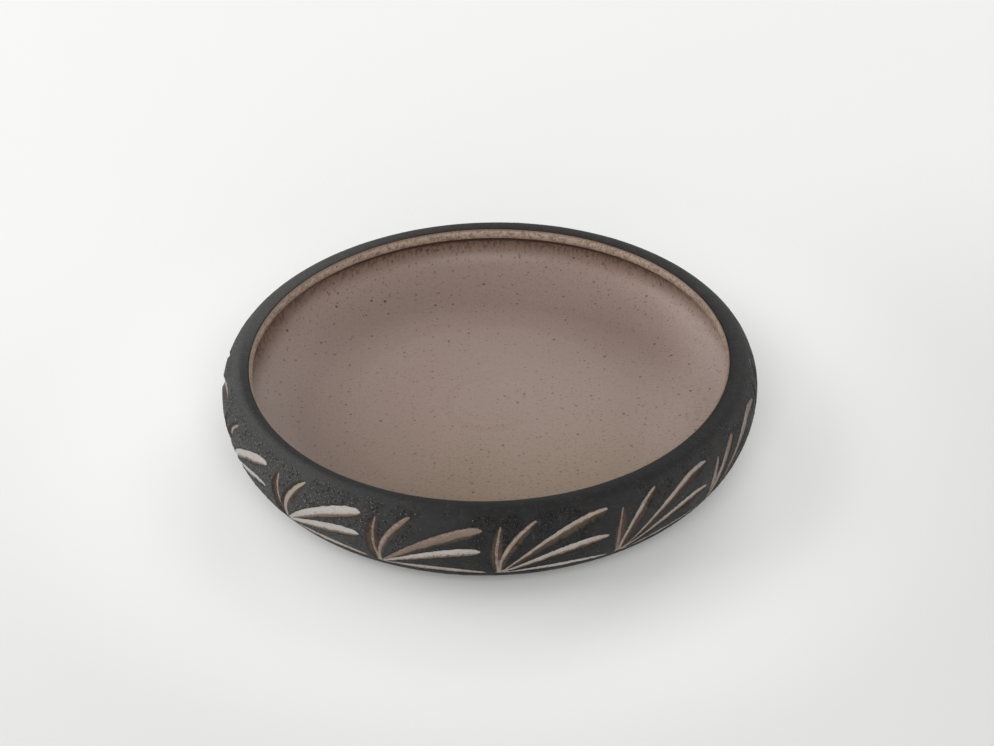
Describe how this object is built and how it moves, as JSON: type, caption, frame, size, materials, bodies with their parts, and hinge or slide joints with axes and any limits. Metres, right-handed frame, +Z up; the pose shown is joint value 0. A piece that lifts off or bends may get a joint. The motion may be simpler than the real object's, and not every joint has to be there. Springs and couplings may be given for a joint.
{
  "type": "low stoneware bowl",
  "caption": "Wide, low stoneware bowl with a rolled rim, a speckled glaze inside and a ring of carved leaf sprays on a black slip outside.",
  "frame": {"origin": "middle of the foot ring, on the ground that it stands on", "axes": "+Z up through the mouth of the bowl, -Y the front of the picture"},
  "size_m": [0.2599, 0.2599, 0.05],
  "materials": {
    "stoneware_clay": "unglazed, fired, slightly gritty",
    "black_slip": "satin black slip with gritty patches",
    "speckled_glaze": "satin taupe glaze with dark iron speckles",
    "pale_glaze": "pale glaze pooled in the leaf cuts, brown where it is thin"
  },
  "bodies": {
    "root": {"clay_body": "stoneware_clay", "speckled_inner_glaze": "speckled_glaze", "black_slip_coat": "black_slip", "leaf_glaze_01": "pale_glaze", "leaf_glaze_02": "pale_glaze", "leaf_glaze_03": "pale_glaze", "leaf_glaze_04": "pale_glaze", "leaf_glaze_05": "pale_glaze", "leaf_glaze_06": "pale_glaze", "leaf_glaze_07": "pale_glaze", "leaf_glaze_08": "pale_glaze", "leaf_glaze_09": "pale_glaze", "leaf_glaze_10": "pale_glaze", "leaf_glaze_11": "pale_glaze", "leaf_glaze_12": "pale_glaze", "leaf_glaze_13": "pale_glaze", "leaf_glaze_14": "pale_glaze"}
  },
  "joints": []
}
